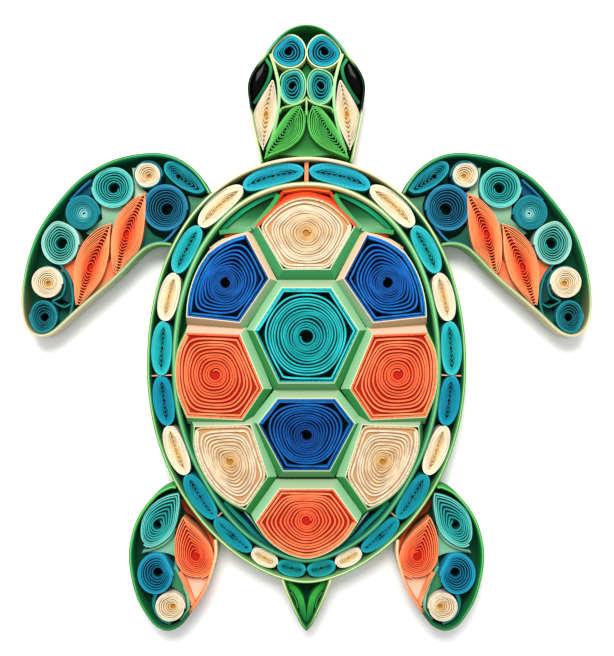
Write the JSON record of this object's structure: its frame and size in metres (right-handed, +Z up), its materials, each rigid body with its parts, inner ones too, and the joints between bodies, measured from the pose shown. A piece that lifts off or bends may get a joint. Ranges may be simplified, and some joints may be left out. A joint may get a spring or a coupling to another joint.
{
  "type": "quilled paper sea turtle",
  "caption": "Sea turtle seen from above, made of paper strips wound into coils and glued on edge to a cut card, with raised scutes on the shell.",
  "frame": {"origin": "middle of the backing card's flat underside, taken over the whole turtle's length and width", "axes": "+Y towards the turtle's head, +X towards its right flippers as seen from above, +Z up out of the card"},
  "size_m": [0.1706, 0.182, 0.0092],
  "materials": {
    "card_green": "matt",
    "lacquer_black": "gloss",
    "paper_border_blue": "matt",
    "paper_collar_green": "matt",
    "paper_coral": "matt",
    "paper_cream": "matt",
    "paper_leaf_green": "matt",
    "paper_light_teal": "matt",
    "paper_rim_green": "matt",
    "paper_royal_blue": "matt",
    "paper_sea_blue": "matt",
    "paper_teal": "matt"
  },
  "bodies": {
    "root": {"shell_outer_rim": "paper_rim_green", "border_ovals_right": "paper_border_blue", "border_ovals_left": "paper_border_blue", "scute_crown": "paper_cream", "scute_centre": "paper_teal", "scute_saddle": "paper_royal_blue", "scute_tail": "paper_coral", "scute_shoulder_right": "paper_royal_blue", "scute_shoulder_left": "paper_royal_blue", "scute_flank_right": "paper_coral", "scute_flank_left": "paper_coral", "scute_hip_right": "paper_cream", "scute_hip_left": "paper_cream", "scute_frame": "paper_collar_green", "front_root_oval_right": "paper_teal", "front_root_oval_left": "paper_teal", "front_blue_coil_right": "paper_sea_blue", "front_blue_coil_left": "paper_sea_blue", "front_upper_cream_coil_right": "paper_cream", "front_upper_cream_coil_left": "paper_cream", "front_upper_teal_coil_right": "paper_light_teal", "front_upper_teal_coil_left": "paper_light_teal", "front_middle_teal_coil_right": "paper_teal", "front_middle_teal_coil_left": "paper_teal", "front_lower_teal_coil_right": "paper_light_teal", "front_lower_teal_coil_left": "paper_light_teal", "front_lower_cream_coil_right": "paper_cream", "front_lower_cream_coil_left": "paper_cream", "front_tip_coil_right": "paper_teal", "front_tip_coil_left": "paper_teal", "front_upper_coral_leaf_right": "paper_coral", "front_upper_coral_leaf_left": "paper_coral", "front_lower_coral_leaf_right": "paper_coral", "front_lower_coral_leaf_left": "paper_coral", "rear_teal_drop_right": "paper_light_teal", "rear_teal_drop_left": "paper_light_teal", "rear_coral_drop_right": "paper_coral", "rear_coral_drop_left": "paper_coral", "rear_blue_coil_right": "paper_sea_blue", "rear_blue_coil_left": "paper_sea_blue", "rear_cream_coil_right": "paper_cream", "rear_cream_coil_left": "paper_cream", "front_flipper_rim_right": "paper_rim_green", "front_flipper_rim_left": "paper_rim_green", "rear_flipper_rim_right": "paper_rim_green", "rear_flipper_rim_left": "paper_rim_green", "eye_right": "lacquer_black", "eye_left": "lacquer_black", "brow_coil_right": "paper_border_blue", "brow_coil_left": "paper_border_blue", "crown_coil_right": "paper_teal", "crown_coil_left": "paper_teal", "cheek_coil_right": "paper_cream", "cheek_coil_left": "paper_cream", "neck_leaf_right": "paper_leaf_green", "neck_leaf_left": "paper_leaf_green", "head_rim": "paper_rim_green", "tail_leaves": "paper_leaf_green", "tail_rim": "paper_rim_green", "backing_card": "card_green"}
  },
  "joints": []
}
